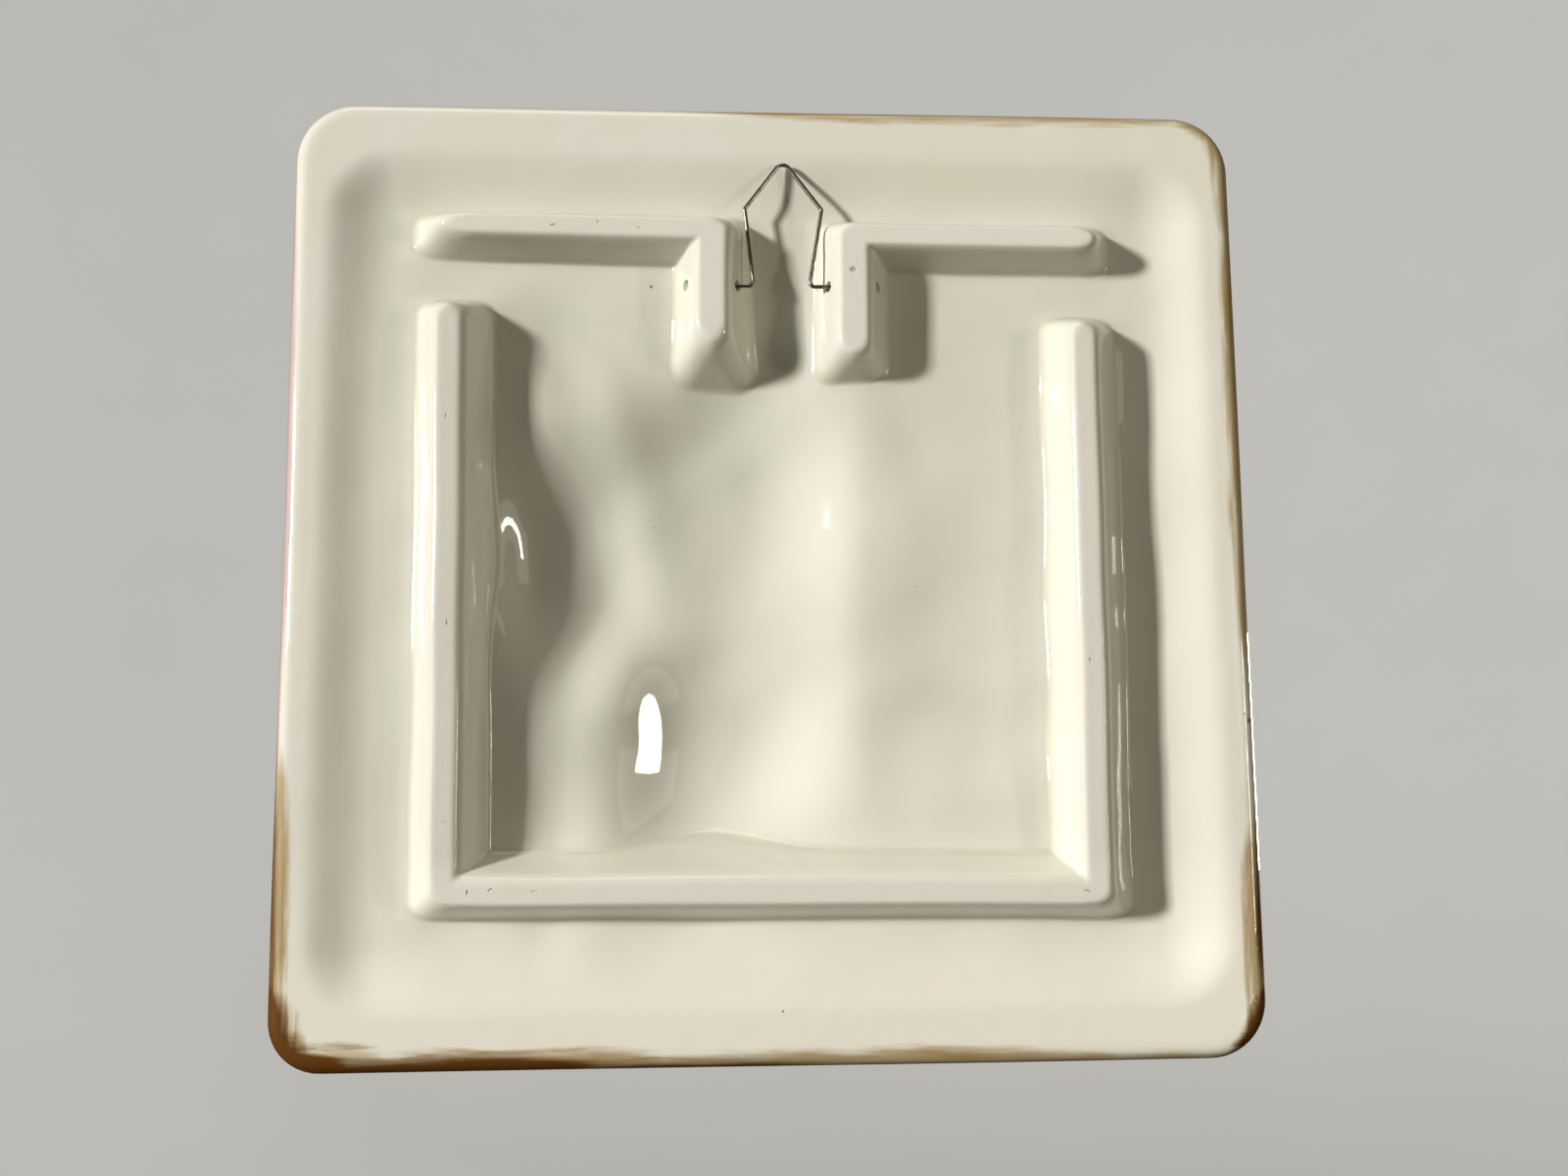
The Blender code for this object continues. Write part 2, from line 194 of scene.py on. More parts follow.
def field_height(u, v):
    """The wall with the unevenness of its mould, and a dip between the two legs."""
    slow = SLOW_SWELL * swell(u, v, 46.0, 3) + SHORT_SWELL * swell(u, v, 19.0, 5) + relief(u, v)
    dip = DIP_DEPTH * np.exp(-((u - 2.0) / 11.0) ** 4 - ((v - 52.0) / 13.0) ** 4)
    level = wall_height(u, v) - 0.12 - 0.08 * swell(u, v, 60.0, 8)
    return level + slow * field_share(u, v) - dip


middle = float(wall_height(np.array(-8.0), np.array(15.0)))
print(f"the middle of the field lies {-middle:.1f} mm below the band")

# %% [markdown]
# ## The ribs
#
# The ribs are straight bars with flat tops. A bar is easy to write as a height: measure how far a
# point lies outside each of its four sides, divide by how far that side spreads on its way down,
# and take the largest. Bars that meet are joined with `soft_max`, their tops are cut off level with
# `soft_min`, and one more `soft_max` lets the foot run into the field with a fillet.

# %% The ribs' heights
RIB_HEIGHT = 9.5
SLOPE = -0.0100
U_CENTRE, U_MOUTH, U_BASE, U_BASE_V = -0.9, 67.1, 66.1, -66.3
LEG_LEFT, LEG_RIGHT = -12.6, 17.0
LEFT_CORNER_V, RIGHT_CORNER_V = 71.8, 71.1


def base_point(u):
    return u, U_BASE_V + SLOPE * u


def arm_end(leg_u, corner_v, end_u):
    return end_u, corner_v + SLOPE * (end_u - leg_u)


# A bar runs from start to end. Each side is (reach from the line, spread on the way down): first
# the side on the left of the run, then the one on its right, then the start and the far end.
base_left, base_right = base_point(U_CENTRE - U_BASE), base_point(U_CENTRE + U_BASE)
left_corner, right_corner = (LEG_LEFT, LEFT_CORNER_V), (LEG_RIGHT, RIGHT_CORNER_V)
U_BARS = (
    ((U_CENTRE - U_MOUTH, 55.5), base_left, (3.30, 5.2), (2.75, 4.3), (0.0, 2.6), (3.20, 2.7)),
    (base_left, base_right, (2.75, 4.6), (3.20, 2.7), (2.75, 4.3), (3.40, 5.2)),
    (base_right, (U_CENTRE + U_MOUTH, 52.9), (2.75, 4.2), (3.40, 5.2), (3.20, 2.7), (0.0, 2.6)),
)
LEFT_HOOK = (
    ((LEG_LEFT, 46.3), left_corner, (3.70, 4.1), (3.50, 4.4), (0.0, 4.4), (2.75, 2.7)),
    (left_corner, arm_end(*left_corner, -69.8), (2.25, 2.7), (2.75, 2.7), (3.50, 4.4), (0.0, 5.8)),
)
RIGHT_HOOK = (
    ((LEG_RIGHT, 44.6), right_corner, (3.10, 3.6), (4.00, 4.2), (0.0, 3.2), (2.75, 2.7)),
    (right_corner, arm_end(*right_corner, 70.2), (2.75, 2.7), (2.35, 2.7), (3.10, 3.6), (0.0, 4.0)),
)


SIDE_ROUNDING, END_ROUNDING, JOIN_ROUNDING, TOP_ROUNDING = 0.20, 1.30, 1.6, 3.0


def bar_height(u, v, start, end, left, right, first, last):
    length = math.dist(start, end)
    along_u, along_v = (end[0] - start[0]) / length, (end[1] - start[1]) / length
    along = (u - start[0]) * along_u + (v - start[1]) * along_v
    across = (v - start[1]) * along_u - (u - start[0]) * along_v
    down = soft_max((across - left[0]) / left[1], (-across - right[0]) / right[1], SIDE_ROUNDING)
    down = soft_max(down, (-along - first[0]) / first[1], END_ROUNDING)
    down = soft_max(down, (along - length - last[0]) / last[1], END_ROUNDING)
    return RIB_TOP - RIB_HEIGHT * down


def top_level(u, v):
    """The ribs' tops, level to a few hundredths. The two uprights lean a little to the right."""
    upright = ease((v + 66.0) / 7.0) * ease((62.0 - v) / 3.0) * ease((np.abs(u) - 56.0) / 3.0)
    lean = np.where(u < 0.0, 0.085 * (u + 70.8), 0.050 * (u - 63.4))
    return RIB_TOP - 0.10 + 0.05 * swell(u, v, 33.0, 23) - upright * np.clip(lean, 0.0, 0.6)


def ribs_height(u, v):
    """All ribs, with level tops and rounded edges, before they meet the field."""
    wave_u = u + 0.22 * swell(u, v, 50.0, 21)
    wave_v = v + 0.22 * swell(u, v, 44.0, 22)
    total = np.full_like(u, -50.0)
    for rib in (U_BARS, LEFT_HOOK, RIGHT_HOOK):
        joined = bar_height(wave_u, wave_v, *rib[0])
        for piece in rib[1:]:
            joined = soft_max(joined, bar_height(wave_u, wave_v, *piece), JOIN_ROUNDING)
        total = np.maximum(total, joined)
    return soft_min(total, top_level(u, v), TOP_ROUNDING)


FILLET, SKIRT, SKIRT_REACH = 1.6, 0.30, 4.5


def back_height(u, v):
    """Ribs and field, with a tight fillet between them and a low skirt of glaze outside it."""
    ribs, field = ribs_height(u, v), field_height(u, v)
    skirt = SKIRT * np.exp(-((ribs - field) / SKIRT_REACH) ** 2)
    return soft_max(ribs, field, FILLET) + skirt


# %% [markdown]
# ## A grid that follows the ribs
#
# The back is one sheet of clay, so it is made as one grid lifted to the heights above. Even steps
# fine enough for the ribs' rounded edges would need half a million faces. So the lines are graded:
# under half a millimetre apart across the ribs' sides, and over a millimetre on the calm field. The
# lines also lean with the ribs, so that each edge runs along a line and never in steps across it.

# %% Graded lines
CALM_STEP = 1.30
LINES_U = (
    (-77.5, -69.0, 0.42), (-65.0, -56.0, 0.42), (-21.5, -14.8, 0.42), (-10.4, -3.8, 0.42),
    (7.8, 14.8, 0.42), (19.2, 26.0, 0.42), (56.5, 63.4, 0.42), (67.2, 75.5, 0.42),
)
LINES_V = (
    (-73.0, -68.4, 0.42), (-64.2, -57.5, 0.45), (39.0, 47.0, 0.48), (52.0, 62.5, 0.50),
    (66.0, 69.9, 0.36), (73.0, 77.2, 0.36),
)


def graded_lines(end, zones):
    """Positions from -end to end, close together in each zone and opening out beside it."""
    fine = np.linspace(-end, end, 6001)
    step = np.full_like(fine, CALM_STEP)
    for start, stop, near in zones:
        away = np.maximum(np.maximum(start - fine, fine - stop), 0.0)
        step = np.minimum(step, near + away * 0.30)
    pace = 1.0 / step
    count = np.concatenate(([0.0], np.cumsum((pace[1:] + pace[:-1]) / 2.0 * np.diff(fine))))
    number = 2 * round(count[-1] / 2.0)
    return np.interp(np.linspace(0.0, count[-1], number + 1), count, fine)


def lean_lines(line_u, line_v, end):
    """Tilt the lines with the ribs, fading to straight lines at the outline."""
    fade_v = ease((end - np.abs(line_v)) / 22.0)
    v = line_v + SLOPE * line_u * fade_v
    fade_u = ease((np.abs(line_u) - 30.0) / 24.0) * ease((end - np.abs(line_u)) / 20.0)
    lean = (U_MOUTH - U_BASE) / (54.2 - U_BASE_V)
    u = line_u + np.sign(line_u) * lean * (line_v - U_BASE_V) * fade_u
    return u, v


# %% [markdown]
# ## The rounded edge and the face
#
# The edge of the plaque is a soft bullnose. Both grids, back and face, stop a little inside the
# outline. Rings of points carry the surface round from one to the other on a half ellipse. The
# corners are round in plan: the corner of each grid is drawn in onto arcs about its own centre.
# The outline gives way by a few tenths of a millimetre, as a cast square does when it dries.

# %% Outline and rings
EDGE_RUN = 3.1
RING_COUNT = 12
CORNERS = {(-1, 1): 13.0, (1, 1): 12.4, (-1, -1): 10.6, (1, -1): 12.0}


def round_corners(u, v, end):
    """Draw the corners of a square grid in, and give each point's direction outward."""
    out_u, out_v = np.zeros_like(u), np.zeros_like(v)
    new_u, new_v = u.copy(), v.copy()
    for (side_u, side_v), radius in CORNERS.items():
        inner = HALF - radius
        over_u = np.maximum(u * side_u - inner, 0.0)
        over_v = np.maximum(v * side_v - inner, 0.0)
        here = (over_u > 0.0) & (over_v > 0.0)
        pull = np.maximum(over_u, over_v) / np.maximum(np.hypot(over_u, over_v), 1e-9)
        new_u = np.where(here, side_u * (inner + over_u * pull), new_u)
        new_v = np.where(here, side_v * (inner + over_v * pull), new_v)
        reach = np.maximum(np.hypot(over_u, over_v), 1e-9)
        out_u = np.where(here, side_u * over_u / reach, out_u)
        out_v = np.where(here, side_v * over_v / reach, out_v)
    plain = (out_u == 0.0) & (out_v == 0.0)
    out_u = np.where(plain & (np.abs(u) > end - 0.01), np.sign(u), out_u)
    out_v = np.where(plain & (np.abs(v) > end - 0.01), np.sign(v), out_v)
    return new_u, new_v, out_u, out_v


DRAW_IN, DRAW_VARIES = 0.13, 0.06


def settle(u, v):
    """The outline draws in by up to about a quarter of a millimetre, here more and there less."""
    share = ease(np.hypot(u, v) / HALF)
    draw = 1.0 - (DRAW_IN + DRAW_VARIES * swell(u, v, 90.0, 41)) / HALF * share
    return u * draw, v * draw


END = HALF - EDGE_RUN
lines_u, lines_v = graded_lines(END, LINES_U), graded_lines(END, LINES_V)
print(f"{len(lines_u)} x {len(lines_v)} lines")


def grid_points(every):
    line_u, line_v = np.meshgrid(lines_u[::every], lines_v[::every], indexing="ij")
    u, v = lean_lines(line_u, line_v, END)
    return round_corners(u, v, END)


# %% Points of the back, the rings and the face
def border(columns, rows):
    """Grid indices once round the border, anticlockwise as drawn."""
    ring = [(i, 0) for i in range(columns - 1)]
    ring += [(columns - 1, j) for j in range(rows - 1)]
    ring += [(i, rows - 1) for i in range(columns - 1, 0, -1)]
    ring += [(0, j) for j in range(rows - 1, 0, -1)]
    return np.array(ring)


def face_height(u, v):
    """The raised face: the wall's own form, a wall's thickness further out."""
    return np.maximum(wall_height(u, v) - WALL, FRONT + 0.02)


back_u, back_v, out_u, out_v = grid_points(1)
face_u, face_v, _, _ = grid_points(2)
back_w = back_height(back_u, back_v)
face_w = face_height(face_u, face_v)
ring = border(*back_u.shape)
edge_u, edge_v = back_u[ring[:, 0], ring[:, 1]], back_v[ring[:, 0], ring[:, 1]]
edge_out_u, edge_out_v = out_u[ring[:, 0], ring[:, 1]], out_v[ring[:, 0], ring[:, 1]]
edge_w = back_w[ring[:, 0], ring[:, 1]]
rings = []
for number in range(1, RING_COUNT):
    turn = math.pi * number / RING_COUNT
    swing = EDGE_RUN * math.sin(turn)
    down = (1.0 - math.cos(turn)) / 2.0
    rings.append((edge_u + edge_out_u * swing, edge_v + edge_out_v * swing,
                  edge_w * (1.0 - down) - WALL * down))
all_u = np.concatenate([back_u.ravel(), *[r[0] for r in rings], face_u.ravel()])
all_v = np.concatenate([back_v.ravel(), *[r[1] for r in rings], face_v.ravel()])
all_w = np.concatenate([back_w.ravel(), *[r[2] for r in rings], face_w.ravel()])
all_u, all_v = settle(all_u, all_v)
print(f"{len(all_u)} points, heights {all_w.min():.2f} to {all_w.max():.2f} mm")


# %% Faces that join them
def grid_faces(columns, rows, first, turned):
    corner = np.arange(columns * rows).reshape(columns, rows)
    quads = np.stack([corner[:-1, :-1], corner[1:, :-1], corner[1:, 1:], corner[:-1, 1:]], axis=-1)
    quads = quads.reshape(-1, 4) + first
    return quads[:, ::-1] if turned else quads


def band_faces(upper, lower):
    """Quads between two rings of the same number of points."""
    after_upper, after_lower = np.roll(upper, -1), np.roll(lower, -1)
    return np.stack([upper, lower, after_lower, after_upper], axis=-1)


columns, rows = back_u.shape
face_columns, face_rows = face_u.shape
back_ring = ring[:, 0] * rows + ring[:, 1]
ring_size = len(ring)
ring_start = columns * rows
ring_ids = [back_ring] + [ring_start + n * ring_size + np.arange(ring_size)
                          for n in range(RING_COUNT - 1)]
face_start = ring_start + (RING_COUNT - 1) * ring_size
face_ring = border(face_columns, face_rows)
face_ids = face_start + face_ring[:, 0] * face_rows + face_ring[:, 1]
faces = grid_faces(columns, rows, 0, False).tolist()
for upper, lower in zip(ring_ids, ring_ids[1:]):
    faces += band_faces(upper, lower).tolist()
last_ring = ring_ids[-1]
for number in range(ring_size // 2):
    one, two, three = (last_ring[(2 * number + k) % ring_size] for k in range(3))
    near, far = face_ids[number], face_ids[(number + 1) % len(face_ids)]
    faces += [(one, near, two), (two, near, far), (two, far, three)]
faces += grid_faces(face_columns, face_rows, face_start, True).tolist()
print(f"{len(faces)} faces")

# %% [markdown]
# ## Make the mesh and drill the legs
#
# The points and faces become one closed mesh. The hanger's holes go right through both legs, so
# they are really drilled: a rod along the hinge line is taken away with a Boolean, and then thrown
# away. The edge of each hole is marked sharp, and all else is shaded smooth.

# %% The plaque
HOLE_RADIUS, HINGE_V, HINGE_W = 1.2, 60.6, 1.8


def mesh_object(name, points, polygons):
    mesh = bpy.data.meshes.new(name)
    mesh.from_pydata(points, [], polygons)
    mesh.update()
    thing = bpy.data.objects.new(name, mesh)
    bpy.context.scene.collection.objects.link(thing)
    return thing


def drill_rod():
    shape = bmesh.new()
    bmesh.ops.create_cone(shape, cap_ends=True, segments=40, radius1=HOLE_RADIUS * MM,
                          radius2=HOLE_RADIUS * MM, depth=50.0 * MM)
    bmesh.ops.rotate(shape, verts=shape.verts, matrix=Vector((0, 0, 1)).rotation_difference(
        Vector((1, 0, 0))).to_matrix())
    place = Vector(to_world(np.array((LEG_LEFT + LEG_RIGHT) / 2), HINGE_V, HINGE_W))
    bmesh.ops.translate(shape, verts=shape.verts, vec=place)
    mesh = bpy.data.meshes.new("drill_rod")
    shape.to_mesh(mesh)
    shape.free()
    rod = bpy.data.objects.new("drill_rod", mesh)
    bpy.context.scene.collection.objects.link(rod)
    return rod


def settle_modifiers(thing):
    """Replace a piece's mesh by what its modifiers make of it."""
    ready = thing.evaluated_get(bpy.context.evaluated_depsgraph_get())
    mesh = bpy.data.meshes.new_from_object(ready)
    thing.modifiers.clear()
    thing.data = mesh


plaque = mesh_object("plaque_fine", to_world(all_u, all_v, all_w).tolist(), faces)
rod = drill_rod()
hole = plaque.modifiers.new("holes", "BOOLEAN")
hole.operation, hole.solver, hole.object = "DIFFERENCE", "EXACT", rod
settle_modifiers(plaque)
bpy.data.objects.remove(rod, do_unlink=True)


def on_hole(vertex):
    v = (vertex.co.z - CENTRE_Z) / MM - HINGE_V
    w = (vertex.co.y - BAND_Y) / MM - HINGE_W
    return abs(math.hypot(v, w) - HOLE_RADIUS) < 0.03


shape = bmesh.new()
shape.from_mesh(plaque.data)
for face in shape.faces:
    face.smooth = True
for edge in shape.edges:
    if all(on_hole(vertex) for vertex in edge.verts) and edge.calc_face_angle(0.0) > 0.6:
        edge.smooth = False
triangles = sum(len(face.verts) - 2 for face in shape.faces)
loose = sum(not edge.is_manifold for edge in shape.edges)
shape.to_mesh(plaque.data)
shape.free()
print(f"plaque: {triangles} triangles, {loose} open edges")

# %% [markdown]
# ## Where the finish changes
#
# The glaze is clear and thick in the fillets, where it pools and turns olive. It was wiped off the
# tops of the ribs, which stand on the kiln shelf. The outer edge was brushed with brown and ochre,
# and the left edge with a little pink. These places are worked out for each point of the mesh and
# kept with it as named values, which the glaze reads further down.

# %% Values kept with the mesh
# Each dab of the brush: centre u and v, half sizes along u and v, and how far in it reaches.
BROWN = (
    (-99.0, -97.0, 18.0, 13.0, 6.0), (-66.0, -101.0, 34.0, 9.0, 4.6),
    (-20.0, -101.0, 30.0, 9.0, 2.6), (-101.0, -70.0, 9.0, 30.0, 2.6),
    (101.0, -94.0, 10.0, 7.0, 5.0), (101.0, -70.0, 9.0, 18.0, 3.0),
)
OCHRE = (
    (-60.0, -101.0, 46.0, 10.0, 5.6), (20.0, -101.0, 60.0, 9.0, 4.6),
    (76.0, -101.0, 26.0, 9.0, 2.8), (101.0, -77.0, 10.0, 26.0, 6.0),
    (101.0, 30.0, 9.0, 62.0, 4.6), (100.0, 88.0, 14.0, 18.0, 5.0),
    (44.0, 101.0, 62.0, 8.0, 4.2), (-101.0, -66.0, 10.0, 30.0, 5.0),
    (-92.0, -98.0, 20.0, 16.0, 7.0),
)
PINK = ((-101.5, 22.0, 6.0, 64.0, 2.2), (-101.5, -20.0, 6.0, 30.0, 1.6))
FACE_REACH = 0.45  # the brush reached further in on the plain face, so the inset counts less there


def brushed(u, v, dabs):
    """How far in from the outline a brush of colour reaches, in millimetres."""
    reach = np.zeros_like(u)
    for dab_u, dab_v, long_u, long_v, depth in dabs:
        reach = np.maximum(reach, depth * np.exp(
            -np.abs((u - dab_u) / long_u) ** 4 - np.abs((v - dab_v) / long_v) ** 4))
    return reach


def inset(u, v):
    """How far a point lies inside the outline, in plan."""
    radius = np.full_like(u, 12.0)
    for (side_u, side_v), size in CORNERS.items():
        radius = np.where((u * side_u > 0) & (v * side_v > 0), size, radius)
    over_u, over_v = np.abs(u) - (HALF - radius), np.abs(v) - (HALF - radius)
    outside = np.hypot(np.maximum(over_u, 0.0), np.maximum(over_v, 0.0))
    return radius - outside - np.minimum(np.maximum(over_u, over_v), 0.0)


def keep_value(mesh, name, values):
    mesh.attributes.new(name, "FLOAT", "POINT").data.foreach_set("value", values.astype(np.float32))


spots = np.zeros(len(plaque.data.vertices) * 3)
plaque.data.vertices.foreach_get("co", spots)
spots = spots.reshape(-1, 3)
spot_u, spot_w = (CENTRE_X - spots[:, 0]) / MM, (spots[:, 1] - BAND_Y) / MM
spot_v = (spots[:, 2] - CENTRE_Z) / MM
wall_here, ribs_here = field_height(spot_u, spot_v), ribs_height(spot_u, spot_v)
behind = ease((spot_w - wall_here + 3.0) / 2.0)
pooled = np.clip(1.0 - np.abs(ribs_here - wall_here) / (FILLET * 2.5), 0.0, 1.0) * behind
keep_value(plaque.data, "wiped", ease((spot_w - top_level(spot_u, spot_v) + 0.50) / 0.35))
keep_value(plaque.data, "pooled", pooled)
keep_value(plaque.data, "inset",
           inset(spot_u, spot_v) * np.where(spot_w < -WALL / 2, FACE_REACH, 1.0))
keep_value(plaque.data, "brown", brushed(spot_u, spot_v, BROWN))
keep_value(plaque.data, "ochre", brushed(spot_u, spot_v, OCHRE))
keep_value(plaque.data, "pink", brushed(spot_u, spot_v, PINK))
keep_value(plaque.data, "sunk", field_share(spot_u, spot_v) * behind)
keep_value(plaque.data, "end_side", ease((np.abs(spot_v) - np.abs(spot_u) + 8.0) / 16.0))
keep_value(plaque.data, "blister", ease((spot_u - 96.5) / 2.0) * ease((-spot_v - 58.0) / 5.0))
print("kept", [a.name for a in plaque.data.attributes if a.data_type == "FLOAT"])

# %% [markdown]
# ## Shader sums as Python
#
# A finish is a tree of nodes. Written out one by one it is long and hard to read, so `Wire` wraps
# one output of a node and turns Python's operators into Math nodes: `1 - mask` adds a node that
# subtracts. `Finish.node` makes every other node: its kind, then its settings, then what goes into
# its sockets. Colours are mixed with a Mix node, since a Math node would turn them grey.

# %% A wire and a finish


class Wire:
    def __init__(self, finish, socket):
        self.finish = finish
        self.socket = socket

    def sum(self, operation, first, second=0.0):
        return self.finish.node("Math", {"operation": operation}, {0: first, 1: second})

    def __add__(self, other):
        return self.sum("ADD", self, other)

    def __radd__(self, other):
        return self.sum("ADD", other, self)

    def __sub__(self, other):
        return self.sum("SUBTRACT", self, other)

    def __rsub__(self, other):
        return self.sum("SUBTRACT", other, self)

    def __mul__(self, other):
        return self.sum("MULTIPLY", self, other)

    def __rmul__(self, other):
        return self.sum("MULTIPLY", other, self)

    def most(self, other):
        return self.sum("MAXIMUM", self, other)

    def least(self, other):
        return self.sum("MINIMUM", self, other)

    def eased(self, low, high):
        """0 below low, 1 above high, and a soft fade between."""
        return self.finish.node("MapRange", {"interpolation_type": "SMOOTHSTEP"},
                                {"Value": self, "From Min": low, "From Max": high})


class Finish:
    def __init__(self, name):
        self.material = bpy.data.materials.new(name)
        self.material.use_nodes = True
        self.tree = self.material.node_tree
        self.tree.nodes.clear()

    def node(self, kind, settings, values, output=0):
        made = self.tree.nodes.new("ShaderNode" + kind)
        for name, value in settings.items():
            setattr(made, name, value)
        for name, value in values.items():
            if isinstance(value, Wire):
                self.tree.links.new(value.socket, made.inputs[name])
            else:
                made.inputs[name].default_value = value
        return Wire(self, made.outputs[output])

    def mixed(self, share, first, second):
        return self.node("Mix", {"data_type": "RGBA"}, {0: share, 6: first, 7: second}, output=2)

    def kept(self, name):
        """A value kept with the mesh."""
        return self.node("Attribute", {"attribute_name": name}, {}, output=2)

    def grain(self, place, scale, detail=3.0, roughness=0.5, warp=0.0):
        """Cloudy noise from 0 to 1. The scale is in clouds a millimetre."""
        return self.node("TexNoise", {"noise_dimensions": "3D"}, {
            "Vector": place, "Scale": scale, "Detail": detail, "Roughness": roughness,
            "Distortion": warp})

    def bump(self, height, strength, distance, normal=None):
        values = {"Height": height, "Strength": strength, "Distance": distance * MM}
        if normal is not None:
            values["Normal"] = normal
        return self.node("Bump", {}, values)

    def surface(self, values):
        shader = self.node("BsdfPrincipled", {}, values)
        self.node_out(shader)
        return self.material

    def node_out(self, shader):
        made = self.tree.nodes.new("ShaderNodeOutputMaterial")
        self.tree.links.new(shader.socket, made.inputs["Surface"])


def drawn_place(finish):
    """The drawing's place of a point in millimetres, as (u, w, v), from the object's own space."""
    own = finish.node("TexCoord", {}, {}, output=3)
    return finish.node("VectorMath", {"operation": "MULTIPLY_ADD"}, {
        0: own, 1: (-1 / MM, 1 / MM, 1 / MM),
        2: (CENTRE_X / MM, -BAND_Y / MM, -CENTRE_Z / MM)})


# %% [markdown]
# ## The cream glaze
#
# The body colour is a warm cream, a little greyer or yellower from place to place. Over it lies the
# clear gloss of the glaze, which is a coat: its own sharp highlight over a soft base. On the wiped
# tops of the ribs the coat is thin and the clay is dull and slightly rough, with pits and
# scratches.

# %% Marks on the glaze
glaze = Finish("cream_glaze_fine")
place = drawn_place(glaze)
MARKS = (  # u, v, half length, half width, turn in degrees: pits and scratches on the rib tops
    (-46.0, 72.2, 0.7, 0.22, 10.0), (-36.8, 73.0, 0.35, 0.25, 0.0),
    (-28.5, 72.0, 0.8, 0.16, -20.0), (-48.4, -65.8, 1.1, 0.16, 5.0),
    (-57.0, -65.4, 0.9, 0.20, 30.0), (-61.5, -65.9, 0.6, 0.25, 80.0),
    (63.0, -66.9, 0.8, 0.16, -15.0), (-66.6, -12.0, 0.25, 0.6, 0.0),
    (-67.6, 31.0, 0.22, 0.5, 0.0), (17.2, 63.2, 0.80, 0.65, 0.0),
    (65.2, -20.0, 0.2, 0.6, 8.0), (-66.2, -52.0, 0.35, 0.2, 0.0),
)
SPECKS = (  # u, v and half size of dark specks; the one at (100.4, -32.3) is a chip in the edge
    (-25.7, 62.0, 0.42), (1.3, -90.5, 0.30), (36.0, 24.0, 0.16), (-25.2, 10.6, 0.18),
    (30.6, -3.2, 0.15), (100.4, -32.3, 0.75), (99.2, -30.9, 0.30),
)


def mark(u, v, long, wide, turn):
    """1 inside a small oval mark on the drawing, fading at its edge."""
    angle = math.radians(turn)
    offset = glaze.node("VectorMath", {"operation": "SUBTRACT"}, {0: place, 1: (u, 0.0, v)})
    turned = glaze.node("VectorRotate", {"rotation_type": "Y_AXIS"}, {
        "Vector": offset, "Angle": angle})
    squeezed = glaze.node("VectorMath", {"operation": "MULTIPLY"}, {
        0: turned, 1: (1.0 / long, 0.0, 1.0 / wide)})
    size = glaze.node("VectorMath", {"operation": "LENGTH"}, {0: squeezed}, output=1)
    return 1.0 - size.eased(0.55, 1.15)


def all_marks(rows):
    total = mark(*rows[0])
    for row in rows[1:]:
        total = total.most(mark(*row))
    return total


wiped = glaze.kept("wiped")
rough_edge = glaze.grain(place, 0.9, detail=4.0)
scratches = all_marks(MARKS) * rough_edge.eased(0.35, 0.55) * wiped
specks = all_marks([(u, v, size, size, 0.0) for u, v, size in SPECKS])
print(f"{len(glaze.tree.nodes)} nodes for the marks")

# %% Colour of the glaze
CREAM = (0.815, 0.790, 0.695, 1.0)
WARM_CREAM = (0.810, 0.765, 0.640, 1.0)
WIPED_CLAY = (0.785, 0.760, 0.665, 1.0)
OLIVE = (0.560, 0.520, 0.350, 1.0)
FIELD_CREAM = (0.722, 0.708, 0.605, 1.0)
PAINTED_LIGHT_LOW_CREAM = (0.920, 0.870, 0.745, 1.0)
SCRATCH_GREY = (0.30, 0.28, 0.23, 1.0)
SPECK_BROWN = (0.14, 0.10, 0.06, 1.0)
cloud = glaze.grain(place, 0.030, detail=2.0).eased(0.35, 0.70)
colour = glaze.mixed(cloud, CREAM, WARM_CREAM)
low_side = glaze.node("SeparateXYZ", {}, {0: place}, output=2) * -1.0
# Painted light: the cream is painted lighter towards the bottom, standing in for the extra light
# that falls there.
colour = glaze.mixed(low_side.eased(45.0, 90.0) * 0.85, colour, PAINTED_LIGHT_LOW_CREAM)
sunk_upper = glaze.kept("sunk") * (1.0 - low_side.eased(50.0, 80.0))
colour = glaze.mixed(sunk_upper * 0.85, colour, FIELD_CREAM)
pool_edge = glaze.kept("pooled") * (0.75 + 0.5 * glaze.grain(place, 0.25))
colour = glaze.mixed(pool_edge.eased(0.35, 1.0) * 0.40, colour, OLIVE)
colour = glaze.mixed(wiped, colour, WIPED_CLAY)
colour = glaze.mixed(scratches * 0.65, colour, SCRATCH_GREY)
colour = glaze.mixed(specks * 0.75, colour, SPECK_BROWN)

# %% Colour brushed on the edge
OCHRE_WASH = (0.36, 0.225, 0.045, 1.0)
BROWN_WASH = (0.130, 0.045, 0.003, 1.0)
PINK_WASH = (0.50, 0.20, 0.23, 1.0)
DRAWN_OUT = 0.09
inset_here = glaze.kept("inset")


def strokes(stretch):
    """Noise drawn out along one side, as a brush leaves it."""
    drawn_out = glaze.node("VectorMath", {"operation": "MULTIPLY"}, {0: place, 1: stretch})
    return glaze.grain(drawn_out, 0.5, detail=4.0, roughness=0.55, warp=0.3)


strokes_up, strokes_along = strokes((1.0, 1.0, DRAWN_OUT)), strokes((DRAWN_OUT, 1.0, 1.0))
streaks = strokes_up + (strokes_along - strokes_up) * glaze.kept("end_side")
streaks = streaks * 2.4 - 1.2


def brushing(name, softness):
    """1 under a colour's dabs and 0 further in, with an edge broken up by the brush."""
    return (glaze.kept(name) * (1.0 + streaks * 0.42) - inset_here).eased(0.0, softness)


thin = 0.62 + 0.38 * (streaks * 0.8 + 0.5)
colour = glaze.mixed(brushing("ochre", 2.4) * thin * 0.95, colour, OCHRE_WASH)
colour = glaze.mixed(brushing("brown", 2.6).least(thin + 0.30), colour, BROWN_WASH)
colour = glaze.mixed(brushing("pink", 1.2) * 0.55, colour, PINK_WASH)

